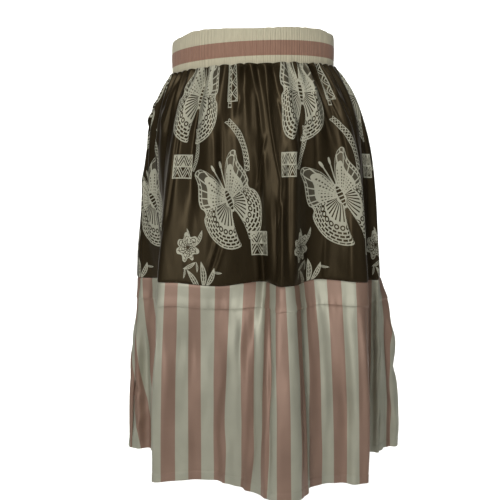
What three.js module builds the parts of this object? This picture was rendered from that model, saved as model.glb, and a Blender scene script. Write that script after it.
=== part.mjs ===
// A full skirt, worn: an elastic waistband, a gathered satin tier and a striped lower tier with a tuck.
// Millimetres, +Z up, the wearer's front towards -Y. The origin is the middle of the waistband's hollow,
// where the wearer holds the skirt up. Each tier is two panels, front and back, joined at the side seams.
import * as THREE from "three";

// Driving dimensions
const clothWall = 1.5; // each tier's cloth
const seamGap = 0.4; // between two pieces that are sewn together
const sideGap = 0.7; // the same at the side seams, measured along the flat cloth
const clothRound = 1500; // each tier's cut width, all round
const sideSeam = { right: 565, left: -185 }; // places along the cloth, from the front's left fold
const waist = {
  halfWidth: 125,
  halfDepth: 95,
  height: 52,
  wall: 3,
  tilt: 0.045, // the band sits a little lower on the wearer's right
  front: 190, // place along the cloth that meets the middle of the band's front
};
const tierSeam = -346; // height of the seam between the tiers
const hem = -641; // height of the lower edge
const tuck = { down: 34, depth: 1.2, slope: 1.5 }; // a stitched fold below the seam of the tiers

// How the gathers and folds open out below the band
const spread = { reach: 85, power: 0.9 }; // the cloth stands away from the waist soon
const foldPower = 1.25; // the large folds grow towards the seam of the tiers
const hemPower = 2.2; // and from there to the hem
const tierOval = { halfWidth: 190, front: 102, back: 134, across: 8 }; // the upper tier's mean shape
const fineGather = { count: 42, height: 5.5, fade: 38, warp: 0.22, phase: 0.13 };
const softGather = { count: 19, height: 9, rise: 28, fade: 0.9, warp: 0.2, phase: 0.35 };

const fineUneven = { count: 9, warp: 0.1, phase: 0.7 }; // and some gathers stand higher than others
const softUneven = { count: 5, warp: 0.1, phase: 0.2 };

// One row for each large fold, front first and anticlockwise from above: where it hangs at the seam of
// the tiers and at the hem, and how far the seam drops below its level there.
const folds = [
  { name: "left edge", seamX: -142, seamY: -98, hemX: -150, hemY: -122, drop: 0 },
  { name: "left front", seamX: -112, seamY: -106, hemX: -117, hemY: -119, drop: 0 },
  { name: "left flat", seamX: -80, seamY: -109, hemX: -80, hemY: -113, drop: 3 },
  { name: "left slope", seamX: -48, seamY: -106, hemX: -52, hemY: -116, drop: 5 },
  { name: "centre rise", seamX: -20, seamY: -100, hemX: -27, hemY: -137, drop: 2.5 },
  { name: "centre foot", seamX: 5, seamY: -91, hemX: -4, hemY: -161, drop: 0 },
  { name: "centre valley", seamX: 17, seamY: -85, hemX: 9, hemY: -170, drop: 0.5 },
  { name: "centre step", seamX: 23, seamY: -107, hemX: 17, hemY: -186, drop: 0 },
  { name: "centre ridge", seamX: 38, seamY: -129, hemX: 41, hemY: -197, drop: 3 },
  { name: "ridge shoulder", seamX: 57, seamY: -125, hemX: 64, hemY: -192, drop: 2.5 },
  { name: "ridge drop", seamX: 68, seamY: -103, hemX: 78, hemY: -168, drop: 3 },
  { name: "drop foot", seamX: 78, seamY: -81, hemX: 87, hemY: -142, drop: 1.5 },
  { name: "right flat", seamX: 97, seamY: -75, hemX: 104, hemY: -128, drop: -2 },
  { name: "right front", seamX: 124, seamY: -84, hemX: 130, hemY: -126, drop: -1.5 },
  { name: "right turn", seamX: 151, seamY: -93, hemX: 153, hemY: -131, drop: 0.5 },
  { name: "right edge", seamX: 173, seamY: -84, hemX: 173, hemY: -119, drop: 2 },
  { name: "right inside", seamX: 164, seamY: -50, hemX: 158, hemY: -74, drop: 2 },
  { name: "right valley", seamX: 166, seamY: -16, hemX: 162, hemY: -28, drop: 6 },
  { name: "right slip", seamX: 184, seamY: -1, hemX: 184, hemY: 3, drop: 8 },
  { name: "right small ridge", seamX: 202, seamY: -2, hemX: 208, hemY: 8, drop: 8 },
  { name: "right small valley", seamX: 204, seamY: 20, hemX: 216, hemY: 28, drop: 8 },
  { name: "right outer", seamX: 212, seamY: 44, hemX: 242, hemY: 44, drop: 8 },
  { name: "back right", seamX: 204, seamY: 86, hemX: 230, hemY: 96, drop: 6 },
  { name: "back right valley", seamX: 168, seamY: 96, hemX: 186, hemY: 116, drop: 4 },
  { name: "first back ridge", seamX: 146, seamY: 138, hemX: 156, hemY: 173, drop: 4 },
  { name: "first back valley", seamX: 106, seamY: 116, hemX: 104, hemY: 144, drop: 4 },
  { name: "second back ridge", seamX: 70, seamY: 152, hemX: 62, hemY: 190, drop: 4 },
  { name: "second back valley", seamX: 27, seamY: 122, hemX: 15, hemY: 150, drop: 4 },
  { name: "third back ridge", seamX: -18, seamY: 154, hemX: -30, hemY: 192, drop: 4 },
  { name: "third back valley", seamX: -62, seamY: 120, hemX: -74, hemY: 146, drop: 4 },
  { name: "fourth back ridge", seamX: -108, seamY: 144, hemX: -126, hemY: 176, drop: 4 },
  { name: "back left valley", seamX: -144, seamY: 102, hemX: -164, hemY: 120, drop: 4 },
  { name: "back left", seamX: -182, seamY: 94, hemX: -206, hemY: 104, drop: 6 },
  { name: "left outer", seamX: -195, seamY: 58, hemX: -215, hemY: 56, drop: 8 },
  { name: "left ridge", seamX: -188, seamY: 36, hemX: -206, hemY: 32, drop: 8 },
  { name: "left slip", seamX: -166, seamY: 30, hemX: -178, hemY: 25, drop: 8 },
  { name: "left valley", seamX: -145, seamY: 10, hemX: -150, hemY: -8, drop: 6 },
  { name: "left inside", seamX: -132, seamY: -34, hemX: -137, hemY: -66, drop: 2 },
];

// Rows and columns of each grid
const upperRows = [0, 6, 18, 40, 72, 116, 172, 240, 320]; // mm below the waist seam
const upperColumns = 105; // in each panel, five to a gather
const lowerColumns = 72;
const lowerBelowTuck = [0.28, 0.46, 0.64, 0.82, 1]; // shares of the lower tier's height
const bandColumns = 84;

const upperHeight = -waist.height / 2 - tierSeam;
const lowerHeight = tierSeam - hem;

// Each fold's place along the cloth, from the mean of its walks along the seam and the hem
const places = (() => {
  const steps = folds.map((fold, i) => {
    const next = folds[(i + 1) % folds.length];
    const alongSeam = Math.hypot(next.seamX - fold.seamX, next.seamY - fold.seamY);
    const alongHem = Math.hypot(next.hemX - fold.hemX, next.hemY - fold.hemY);
    return (alongSeam + alongHem) / 2;
  });
  const total = steps.reduce((sum, step) => sum + step, 0);
  let walked = 0;
  return steps.map((step) => {
    const place = (walked / total) * clothRound;
    walked += step;
    return place;
  });
})();

// A column of the fold table as a smooth closed curve of the place along the cloth
function alongFolds(column, place) {
  const count = folds.length;
  const at = ((place % clothRound) + clothRound) % clothRound;
  let i = count - 1;
  while (places[i] > at) i -= 1;
  const knot = (k) => places[((k % count) + count) % count] + Math.floor(k / count) * clothRound;
  const value = (k) => folds[((k % count) + count) % count][column];
  const gap = knot(i + 1) - knot(i);
  const t = (at - knot(i)) / gap;
  const slopeIn = (value(i + 1) - value(i - 1)) / (knot(i + 1) - knot(i - 1));
  const slopeOut = (value(i + 2) - value(i)) / (knot(i + 2) - knot(i));
  return (
    (2 * t ** 3 - 3 * t ** 2 + 1) * value(i) +
    (t ** 3 - 2 * t ** 2 + t) * gap * slopeIn +
    (3 * t ** 2 - 2 * t ** 3) * value(i + 1) +
    (t ** 3 - t ** 2) * gap * slopeOut
  );
}

// A point on an oval, at the turn round the waist that a place along the cloth has
function onOval(place, { halfWidth, front, back, across }) {
  const turn = (2 * Math.PI * (place - waist.front)) / clothRound;
  const depth = -Math.cos(turn);
  return new THREE.Vector2(
    across + halfWidth * Math.sin(turn),
    depth * (depth < 0 ? front : back),
  );
}
const waistOval = { halfWidth: waist.halfWidth, front: waist.halfDepth, back: waist.halfDepth, across: 0 };

// An uneven wave along the cloth, from -1 to 1
function gatherWave({ count, warp, phase }, place) {
  const share = place / clothRound;
  const uneven =
    Math.sin(2 * Math.PI * (3 * share + phase)) + 0.7 * Math.sin(2 * Math.PI * (7 * share + 2.3 * phase));
  return Math.sin(2 * Math.PI * (count * share + warp * uneven));
}

// The upper tier without its gathers: a blend of the waist's oval, a mean oval and the large folds
function upperPlan(place, down) {
  const opening = (mm) => 1 - Math.exp(-((mm / spread.reach) ** spread.power));
  const share = opening(down) / opening(upperHeight);
  const fold = (down / upperHeight) ** foldPower;
  const mean = onOval(place, tierOval);
  const folded = new THREE.Vector2(alongFolds("seamX", place), alongFolds("seamY", place));
  return onOval(place, waistOval)
    .lerp(mean, share)
    .add(folded.sub(mean).multiplyScalar(fold));
}

function lowerPlan(place, share) {
  const opening = 1 - (1 - share) ** hemPower;
  const seam = new THREE.Vector2(alongFolds("seamX", place), alongFolds("seamY", place));
  return seam.lerp(new THREE.Vector2(alongFolds("hemX", place), alongFolds("hemY", place)), opening);
}

// The level outward direction of a plan curve
function outward(plan, place, at) {
  const step = 0.5;
  const along = plan(place + step, at).sub(plan(place - step, at)).normalize();
  return new THREE.Vector2(along.y, -along.x);
}

// A point in the middle of the upper tier's wall
function upperPoint(place, down) {
  const fineFade = Math.exp(-down / fineGather.fade);
  const softRise = 1 - Math.exp(-down / softGather.rise);
  const softFade = Math.max(0, 1 - down / upperHeight) ** softGather.fade;
  const fine = fineGather.height * fineFade * (1 + 0.35 * gatherWave(fineUneven, place));
  const soft = softGather.height * softRise * softFade * (1 + 0.4 * gatherWave(softUneven, place));
  const out = fine * gatherWave(fineGather, place) + soft * gatherWave(softGather, place);
  const flat = upperPlan(place, down).addScaledVector(outward(upperPlan, place, down), out);
  const share = down / upperHeight;
  const top = -waist.height / 2 - seamGap + waist.tilt * flat.x;
  const bottom = tierSeam + seamGap / 2 - alongFolds("drop", place);
  return new THREE.Vector3(flat.x, flat.y, top + (bottom - top) * share);
}

// A point in the middle of the lower tier's wall
function lowerPoint(place, share) {
  const flat = lowerPlan(place, share);
  const top = tierSeam - seamGap / 2 - alongFolds("drop", place);
  return new THREE.Vector3(flat.x, flat.y, top + (hem - top) * share);
}

// A closed solid either side of a surface: at(place, row) is a point in the middle of the wall. extra(row)
// is what the outer face stands out by, and a ring joins its last column to its first.
function wallSolid({ at, places: along, rows, wall, extra = () => 0, ring = false }) {
  const columns = along.length;
  const positions = [];
  for (const side of [1, -1]) {
    for (let row = 0; row < rows; row += 1) {
      for (const place of along) {
        const centre = at(place, row);
        const across = at(place + 2, row).sub(at(place - 2, row));
        const down = at(place, Math.min(row + 1, rows - 1)).sub(at(place, Math.max(row - 1, 0)));
        const normal = down.cross(across);
        if (row === 0 || row === rows - 1) normal.z = 0; // an edge is cut square to the wall
        const reach = side > 0 ? wall / 2 + extra(row) : -wall / 2;
        positions.push(...centre.addScaledVector(normal.normalize(), reach).toArray());
      }
    }
  }
  const corner = (side, row, column) => (side * rows + row) * columns + (column % columns);
  const outer = (row, column) => corner(0, row, column);
  const inner = (row, column) => corner(1, row, column);
  const indices = [];
  const face = (a, b, c, d) => indices.push(a, b, c, a, c, d);
  const last = rows - 1;
  for (let i = 0; i < (ring ? columns : columns - 1); i += 1) {
    for (let row = 0; row < last; row += 1) {
      face(outer(row, i), outer(row + 1, i), outer(row + 1, i + 1), outer(row, i + 1));
      face(inner(row, i), inner(row, i + 1), inner(row + 1, i + 1), inner(row + 1, i));
    }
    face(outer(0, i), outer(0, i + 1), inner(0, i + 1), inner(0, i));
    face(outer(last, i), inner(last, i), inner(last, i + 1), outer(last, i + 1));
  }
  if (!ring) {
    const end = columns - 1;
    for (let row = 0; row < last; row += 1) {
      face(outer(row, 0), inner(row, 0), inner(row + 1, 0), outer(row + 1, 0));
      face(outer(row, end), outer(row + 1, end), inner(row + 1, end), inner(row, end));
    }
  }
  const geometry = new THREE.BufferGeometry();
  geometry.setAttribute("position", new THREE.Float32BufferAttribute(positions, 3));
  geometry.setIndex(indices);
  geometry.computeVertexNormals();
  return geometry;
}

// Places along the cloth from one side seam to the other, half a gap inside each
function panelPlaces(from, to, columns) {
  const start = from + sideGap / 2;
  const length = to - from - sideGap;
  return Array.from({ length: columns + 1 }, (_, i) => start + (length * i) / columns);
}

function upperPanel(from, to) {
  return wallSolid({
    at: (place, row) => upperPoint(place, upperRows[row]),
    places: panelPlaces(from, to, upperColumns),
    rows: upperRows.length,
    wall: clothWall,
  });
}

// The tuck is a fold of the same cloth, so the wall is thicker down to its edge and then steps in
function lowerPanel(from, to) {
  const tuckEdge = tuck.down / lowerHeight;
  const tuckFoot = (tuck.down + tuck.slope) / lowerHeight;
  const shares = [0, tuckEdge, tuckFoot, ...lowerBelowTuck];
  return wallSolid({
    at: (place, row) => lowerPoint(place, shares[row]),
    places: panelPlaces(from, to, lowerColumns),
    rows: shares.length,
    wall: clothWall,
    extra: (row) => (row < 2 ? tuck.depth : 0),
  });
}

// The waistband's ring, a touch fuller between its edges
function bandRing() {
  const rows = [
    { height: waist.height / 2, fuller: 0 },
    { height: waist.height / 4, fuller: 0.8 },
    { height: -waist.height / 4, fuller: 0.8 },
    { height: -waist.height / 2, fuller: 0 },
  ];
  const at = (place, row) => {
    const { height, fuller } = rows[row];
    const size = {
      ...waistOval,
      halfWidth: waist.halfWidth + fuller,
      front: waist.halfDepth + fuller,
      back: waist.halfDepth + fuller,
    };
    const flat = onOval(place, size);
    return new THREE.Vector3(flat.x, flat.y, height + waist.tilt * flat.x);
  };
  const along = Array.from({ length: bandColumns }, (_, i) => (clothRound * i) / bandColumns);
  return wallSolid({ at, places: along, rows: rows.length, wall: waist.wall, ring: true });
}

// Finishes
const darkSatin = new THREE.MeshStandardMaterial({ color: 0x3d3226, roughness: 0.42, metalness: 0 });
const stripedSatin = new THREE.MeshStandardMaterial({ color: 0xa8998a, roughness: 0.45, metalness: 0 });
const bandCloth = new THREE.MeshStandardMaterial({ color: 0xc9c2ae, roughness: 0.7, metalness: 0 });

function piece(name, geometry, material) {
  const mesh = new THREE.Mesh(geometry, material);
  mesh.name = name;
  return mesh;
}

const skirt = new THREE.Group();
skirt.add(
  piece("waistband", bandRing(), bandCloth),
  piece("upper_front", upperPanel(sideSeam.left, sideSeam.right), darkSatin),
  piece("upper_back", upperPanel(sideSeam.right, sideSeam.left + clothRound), darkSatin),
  piece("lower_front", lowerPanel(sideSeam.left, sideSeam.right), stripedSatin),
  piece("lower_back", lowerPanel(sideSeam.right, sideSeam.left + clothRound), stripedSatin),
);

export default skirt;
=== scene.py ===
# A full skirt, worn: an elastic waistband, a gathered satin tier with a butterfly print, and a striped
# lower tier with a tuck. Metres, +Z up, the wearer's front towards -Y.
import math
import bpy
import numpy as np
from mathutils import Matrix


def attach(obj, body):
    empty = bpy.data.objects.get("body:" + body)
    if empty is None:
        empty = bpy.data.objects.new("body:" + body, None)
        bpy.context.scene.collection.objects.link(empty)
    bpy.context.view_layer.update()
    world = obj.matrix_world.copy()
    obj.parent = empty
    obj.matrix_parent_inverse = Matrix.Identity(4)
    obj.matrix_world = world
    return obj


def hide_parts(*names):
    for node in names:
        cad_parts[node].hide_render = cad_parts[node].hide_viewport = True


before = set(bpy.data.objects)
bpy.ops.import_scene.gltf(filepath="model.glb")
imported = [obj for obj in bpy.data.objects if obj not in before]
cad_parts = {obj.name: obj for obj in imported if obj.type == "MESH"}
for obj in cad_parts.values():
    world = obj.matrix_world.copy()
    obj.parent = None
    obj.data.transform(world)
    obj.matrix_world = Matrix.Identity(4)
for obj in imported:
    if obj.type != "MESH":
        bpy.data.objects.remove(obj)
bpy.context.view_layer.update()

mm = 0.001
fullTurn = 2 * math.pi

# The cut and the hang, in millimetres
cloth = {
    "round": 1500.0,  # cut width of each tier, all round
    "rightSeam": 565.0,  # side seams, as places along the cloth from the front's left fold
    "leftSeam": -185.0,
    "frontCentre": 190.0,
    "thickness": 0.5,
    "tierSeam": -346.0,  # height of the seam between the tiers
    "hem": -641.0,
    "gap": 0.2,  # left on each side of a level seam
    "slit": 0.06,  # left on each side of a side seam
    "seamDepth": 0.9,  # how far the cloth is drawn in at a seam
    "seamWidth": 1.6,
}
waist = {
    "halfWidth": 125.0, "halfDepth": 95.0, "height": 52.0,
    "tilt": 0.045,  # rise for each millimetre to the wearer's left
    "drop": 1.2,  # how far the gathers pull the lower edge down
}
opening = {"reach": 85.0, "power": 0.9, "foldPower": 1.25, "hemPower": 2.2}
tierOval = {"halfWidth": 190.0, "front": 102.0, "back": 134.0, "across": 8.0}
upperHeight = -waist["height"] / 2 - cloth["tierSeam"]
lowerHeight = cloth["tierSeam"] - cloth["hem"]

# Large folds: name, place at the seam of the tiers (x, y), place at the hem (x, y), drop of the seam
foldRows = [
    ("left edge", -142, -98, -150, -122, 0),
    ("left front", -112, -106, -117, -119, 0),
    ("left flat", -80, -109, -80, -113, 3),
    ("left slope", -48, -106, -52, -116, 5),
    ("centre rise", -20, -100, -27, -137, 2.5),
    ("centre foot", 5, -91, -4, -161, 0),
    ("centre valley", 17, -85, 9, -170, 0.5),
    ("centre step", 23, -107, 17, -186, 0),
    ("centre ridge", 38, -129, 41, -197, 3),
    ("ridge shoulder", 57, -125, 64, -192, 2.5),
    ("ridge drop", 68, -103, 78, -168, 3),
    ("drop foot", 78, -81, 87, -142, 1.5),
    ("right flat", 97, -75, 104, -128, -2),
    ("right front", 124, -84, 130, -126, -1.5),
    ("right turn", 151, -93, 153, -131, 0.5),
    ("right edge", 173, -84, 173, -119, 2),
    ("right inside", 164, -50, 158, -74, 2),
    ("right valley", 166, -16, 162, -28, 6),
    ("right slip", 184, -1, 184, 3, 8),
    ("right small ridge", 202, -2, 208, 8, 8),
    ("right small valley", 204, 20, 216, 27, 8),
    ("right outer", 212, 44, 242, 44, 8),
    ("back right", 204, 86, 230, 96, 6),
    ("back right valley", 168, 96, 186, 116, 4),
    ("first back ridge", 146, 138, 156, 173, 4),
    ("first back valley", 106, 116, 104, 144, 4),
    ("second back ridge", 70, 152, 62, 190, 4),
    ("second back valley", 27, 122, 15, 150, 4),
    ("third back ridge", -18, 154, -30, 192, 4),
    ("third back valley", -62, 120, -74, 146, 4),
    ("fourth back ridge", -108, 144, -126, 176, 4),
    ("back left valley", -144, 102, -164, 120, 4),
    ("back left", -182, 94, -206, 104, 6),
    ("left outer", -195, 58, -215, 56, 8),
    ("left ridge", -188, 36, -206, 32, 8),
    ("left slip", -166, 30, -178, 25, 8),
    ("left valley", -145, 10, -150, -8, 6),
    ("left inside", -132, -34, -137, -66, 2),
]
folds = np.array([row[1:] for row in foldRows], float)


def stepLengths(table):
    # Straight distance from each row's point to the next one's, round the loop
    return np.hypot(*(np.roll(table, -1, 0) - table).T)


foldSteps = (stepLengths(folds[:, 0:2]) + stepLengths(folds[:, 2:4])) / 2
foldPlaces = np.concatenate([[0], np.cumsum(foldSteps)[:-1]]) / foldSteps.sum() * cloth["round"]


def alongFolds(column, place):
    # Cubic Hermite curve through one column of the fold table, its slopes from the rows either side
    count = len(folds)
    at = np.mod(place, cloth["round"])
    i = np.searchsorted(foldPlaces, at, side="right") - 1
    value = lambda k: folds[np.mod(k, count), column]
    knot = lambda k: foldPlaces[np.mod(k, count)] + np.floor_divide(k, count) * cloth["round"]
    gap = knot(i + 1) - knot(i)
    t = (at - knot(i)) / gap
    slopeIn = (value(i + 1) - value(i - 1)) / (knot(i + 1) - knot(i - 1))
    slopeOut = (value(i + 2) - value(i)) / (knot(i + 2) - knot(i))
    start, end = (2 * t**3 - 3 * t**2 + 1) * value(i), (3 * t**2 - 2 * t**3) * value(i + 1)
    return start + (t**3 - 2 * t**2 + t) * gap * slopeIn + end + (t**3 - t**2) * gap * slopeOut


def onOval(place, halfWidth, front, back, across=0.0):
    # x = across + halfWidth sin(turn), y = -depth cos(turn), with its own depth in front and behind
    turn = fullTurn * (place - cloth["frontCentre"]) / cloth["round"]
    depth = -np.cos(turn)
    return np.stack([across + halfWidth * np.sin(turn), depth * np.where(depth < 0, front, back)], -1)


def unevenTurn(place, count, warp, phase):
    # The angle of count waves round the cloth, their pace varied by two slower sines
    share = place / cloth["round"]
    uneven = np.sin(fullTurn * (3 * share + phase)) + 0.7 * np.sin(fullTurn * (7 * share + 2.3 * phase))
    return fullTurn * (count * share + warp * uneven)


def unevenWave(place, count, warp, phase):
    return np.sin(unevenTurn(place, count, warp, phase))


def smooth(low, high, value):
    # 0 below low, 1 above high, and a smooth cubic between
    t = np.clip((value - low) / (high - low), 0, 1)
    return t * t * (3 - 2 * t)


def outward(plan, place, down):
    # The level normal of a plan curve, from its points half a millimetre either side
    along = plan(place + 0.5, down) - plan(place - 0.5, down)
    along /= np.linalg.norm(along, axis=-1, keepdims=True)
    return np.stack([along[..., 1], -along[..., 0]], -1)


def bandPlan(place, down):
    # The waist's oval, the same at every height
    return onOval(place, waist["halfWidth"], waist["halfDepth"], waist["halfDepth"])


def foldPlan(place, column):
    # The large folds' plan, from two columns of the table: 0 for the seam of the tiers, 2 for the hem
    return np.stack([alongFolds(column, place), alongFolds(column + 1, place)], -1)


def upperPlan(place, down):
    # A blend of the waist's oval, a mean oval and the large folds, all set by the depth below the waist
    share = lambda mmDown: 1 - np.exp(-((np.maximum(mmDown, 0) / opening["reach"]) ** opening["power"]))
    spread = (share(down) / share(upperHeight))[..., None]
    fold = ((np.maximum(down, 0) / upperHeight) ** opening["foldPower"])[..., None]
    mean = onOval(place, **tierOval)
    return (1 - spread) * bandPlan(place, down) + spread * mean + fold * (foldPlan(place, 0) - mean)


def lowerPlan(place, share):
    # A blend of the two plans of the large folds, quick below the seam and slow at the hem
    spread = (1 - (1 - np.clip(share, 0, 1)) ** opening["hemPower"])[..., None]
    return (1 - spread) * foldPlan(place, 0) + spread * foldPlan(place, 2)


def roundFrom(place, middle):
    # Distance along the cloth from a middle, the short way round
    return np.mod(place - middle + cloth["round"] / 2, cloth["round"]) - cloth["round"] / 2


def creaseField(rows, place, down):
    # Sum of soft ridges and troughs: each has a bell across it, a slow start and end along it, and a
    # foot that leans sideways and bows as it falls
    total = np.zeros(np.broadcast(place, down).shape)
    for start, top, foot, lean, bow, width, height in rows:
        t = (down - top) / (foot - top)
        middle = start + lean * t + bow * 4 * t * (1 - t)
        across = roundFrom(place, middle)
        ends = smooth(-0.12, 0.22, t) * (1 - smooth(0.72, 1.12, t))
        total += height * np.exp(-((across / width) ** 2)) * ends
    return total


def crumpleField(rows, place, down):
    # Sum of short bumps and dents: an oval bell each, its long axis turned from the level
    total = np.zeros(np.broadcast(place, down).shape)
    for middle, depth, turn, length, width, height in rows:
        across = roundFrom(place, middle)
        fall = down - depth
        c, s = math.cos(math.radians(turn)), math.sin(math.radians(turn))
        along, beside = across * c + fall * s, fall * c - across * s
        total += height * np.exp(-((along / length) ** 2) - (beside / width) ** 2)
    return total


# Slack in the hang: waves round the cloth, millimetres to a wave down it, phase, height
slackRows = [
    (27, 290, 0.10, 1.0),
    (41, -190, 0.45, 0.8),
    (19, -240, 0.70, 0.9),
    (61, 160, 0.20, 0.4),
    (83, -120, 0.90, 0.25),
]


def slack(place, down):
    # A sum of slanted sines, each fading in and out along the cloth
    total = np.zeros(np.broadcast(place, down).shape)
    for count, wave, phase, height in slackRows:
        come = 0.5 + 0.5 * np.sin(fullTurn * (7 * place / cloth["round"] + down / 210 + 3 * phase))
        total += height * come * np.sin(fullTurn * (count * place / cloth["round"] + down / wave + phase))
    return total


# Creases: place, top, foot (mm below the piece's top), lean, bow, width, height (minus is a trough)
upperCreases = [
    (-224, 70, 262, 0, 0, 32, -7.5), (188, 6, 120, 10, 4, 7, 3.5), (218, 40, 180, 22, -5, 3.2, 2.8),
    (172, 30, 112, 4, 2, 9, 3), (209, 104, 186, -32, 0, 2.6, 2.2), (242, 168, 246, -15, 2, 2.8, -2.4),
    (110, 70, 200, -3, 3, 6, -3.2), (98, 86, 236, 0, 3, 6, 2.6), (134, 80, 190, 8, 4, 12, 3.2),
    (203, 126, 216, -2, 3, 7, 3.2), (100, 252, 302, -16, 0, 3.2, 2.4), (106, 256, 304, -18, 0, 2.6, -2),
    (112, 260, 306, -19, 0, 2.8, 1.8), (222, 200, 324, 0, 0, 5, -4.6), (237, 180, 326, 1, 1, 4, 4.4),
    (255, 120, 324, -1, -3, 7, -5), (171, 240, 326, 0, 0, 5, 2.2), (345, 220, 326, 1, 0, 5, 2.2),
    (389, 226, 326, -1, 0, 6, 2.2), (20, 76, 244, -9, 3, 3.5, -2.8), (10, 220, 300, -26, 0, 4, -1.8),
    (-48, 16, 92, -9, 2, 5, 3), (66, 20, 150, -4, 5, 8, 2.4), (50, 60, 200, 6, -4, 6, -1.8),
    (288, 12, 130, 8, 5, 8, 2.4), (316, 30, 170, 6, 4, 5, -2), (350, 14, 120, 18, -4, 5, 2.4),
    (372, 30, 140, 22, 4, 4.5, 2.6), (394, 34, 150, 52, 6, 4.5, -2.8), (418, 50, 210, 40, 8, 6, 2.6),
    (452, 30, 300, 6, 4, 9, 2.6), (520, 40, 310, -8, 5, 8, 2.6), (606, 20, 280, 10, -5, 9, 2.8),
    (668, 36, 310, -10, 4, 8, -2.6), (726, 12, 260, 12, 5, 8, 2.8), (790, 40, 300, -8, -4, 7, -2.4),
    (842, 20, 300, 14, 6, 9, 2.8), (905, 50, 312, -6, 4, 7, -2.4), (968, 16, 280, 10, -5, 9, 2.8),
    (1030, 36, 300, -12, 5, 8, -2.6), (1092, 14, 270, 12, 4, 8, 2.8), (1150, 44, 310, 6, -4, 7, -2.2),
    (1212, 20, 290, -10, 5, 9, 2.8), (1268, 36, 306, 8, 4, 8, -2.4), (1400, 24, 300, 10, -5, 8, 2.6),
    (1452, 40, 310, -6, 4, 7, -2.2),
]
upperCrumples = [  # place, down, turn (degrees, 90 is straight down), length, width, height
    (-205, 60, 60, 14, 6, 4.5), (-214, 92, 100, 20, 9, 5), (-197, 42, 40, 12, 6, 3),
    (-190, 78, 20, 12, 5, -3), (-222, 128, 75, 18, 7, 2.6), (-204, 164, 110, 18, 7, 2.2),
    (-216, 205, 70, 22, 8, 2.4), (-70, 70, 55, 26, 8, 2.4), (-96, 110, 110, 24, 9, 2.2),
    (596, 70, 60, 20, 7, 3), (612, 112, 110, 22, 8, 2.6), (602, 170, 70, 24, 8, 2.2),
    (86, 44, 62, 16, 5, 1.8), (150, 58, 118, 16, 5, 1.8), (246, 60, 66, 18, 5, 2),
    (268, 92, 112, 20, 6, 1.8), (330, 64, 58, 16, 5, 1.8), (440, 60, 120, 18, 6, 2),
    (300, 210, 80, 40, 12, 1.8), (60, 230, 100, 40, 14, 1.6), (840, 90, 60, 24, 8, 2.4),
    (990, 120, 118, 28, 9, 2.2), (1140, 80, 64, 24, 8, 2.4),
]
lowerCrumples = [
    (140, 92, 108, 62, 13, 3.8), (45, 88, 0, 55, 36, -7), (104, 160, 112, 66, 15, -3.2),
    (62, 205, 98, 58, 13, 2.9), (124, 236, 116, 50, 12, -2.9), (28, 122, 94, 56, 11, 2.9),
    (204, 150, 100, 54, 9, -2.9), (330, 112, 82, 66, 14, 3.8), (372, 186, 76, 58, 13, -3.2),
    (345, 240, 96, 50, 11, 2.9), (-60, 130, 80, 60, 12, 3.5), (-110, 200, 104, 54, 12, -3.2),
    (-190, 110, 72, 40, 9, 3.4), (-178, 190, 60, 24, 5, -4.5), (-172, 250, 112, 26, 5, 4),
    (-212, 210, 108, 44, 9, -3.5), (556, 110, 76, 34, 9, 3.4), (540, 190, 108, 38, 9, -3),
    (566, 236, 70, 30, 8, 3), (42, 268, 60, 26, 8, -2.4), (118, 272, 100, 24, 8, -2.2),
    (160, 262, 104, 34, 8, -2.6), (606, 96, 70, 30, 8, 4.8), (608, 45, 90, 32, 12, 5),
    (614, 160, 112, 34, 8, -4.2), (600, 232, 74, 36, 9, 4.2), (780, 140, 80, 60, 14, 3.8),
    (1000, 190, 104, 60, 14, -3.5), (1180, 130, 76, 60, 14, 3.8),
]
lowerCreases = [
    (-212, 10, 300, 0, 0, 26, -8), (-216, 90, 270, 12, 3, 6, -4), (-203, 110, 270, 8, 3, 4.5, 4),
    (-190, 100, 290, 6, 2, 4.5, -4.5), (-176, 130, 330, 4, 2, 4.5, 4), (-168, 90, 340, 10, 2, 7, -9),
    (206, 20, 300, 4, 0, 6, -6), (292, 20, 310, 6, 0, 9, -5), (152, 40, 300, -4, 2, 6, -3),
    (-150, 40, 320, 14, 3, 7, -5), (532, 30, 310, 6, 5, 5, 3.4), (546, 20, 340, 1, 0, 6, -9),
    (562, 20, 330, 1, 0, 4.5, -6), (575, 30, 330, 2, 2, 5, 4), (596, 60, 340, 1, 0, 4.5, -5.5),
    (612, 60, 320, 4, 3, 6, 4.5), (18, 40, 320, -4, 3, 8, 2.5), (62, 44, 310, 6, -3, 9, -2.2),
    (96, 40, 260, -8, 4, 9, 2.2), (132, 60, 320, 8, 3, 8, -2.2), (163, 40, 290, 0, 0, 13, -8),
    (114, 50, 330, 2, 0, 14, 5), (226, 40, 320, 4, -2, 8, 2.2), (272, 60, 300, 2, 3, 6, -2.8),
    (300, 38, 320, 3, 2, 7, -3.1), (336, 44, 290, -6, 4, 8, 2.5), (372, 38, 320, 4, -3, 8, -2.2),
    (398, 26, 330, 8, 4, 4.5, 3.4), (411, 30, 330, 7, 4, 4.5, -4.2), (470, 44, 310, -4, 4, 9, -2.5),
    (548, 40, 320, 8, -3, 8, 2.5), (640, 60, 300, -8, 4, 10, 2.8), (735, 40, 320, 6, 3, 9, -2.5),
    (850, 50, 300, -6, -4, 9, 2.5), (925, 40, 320, 8, 3, 9, -2.5), (1045, 60, 310, -6, 4, 9, 2.5),
    (1110, 40, 290, 6, -3, 9, -2.5), (1190, 44, 320, -6, 4, 9, 2.5), (1360, 60, 310, 6, 3, 8, -2.5),
    (1425, 40, 320, -4, -3, 8, 2.5),
]

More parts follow.
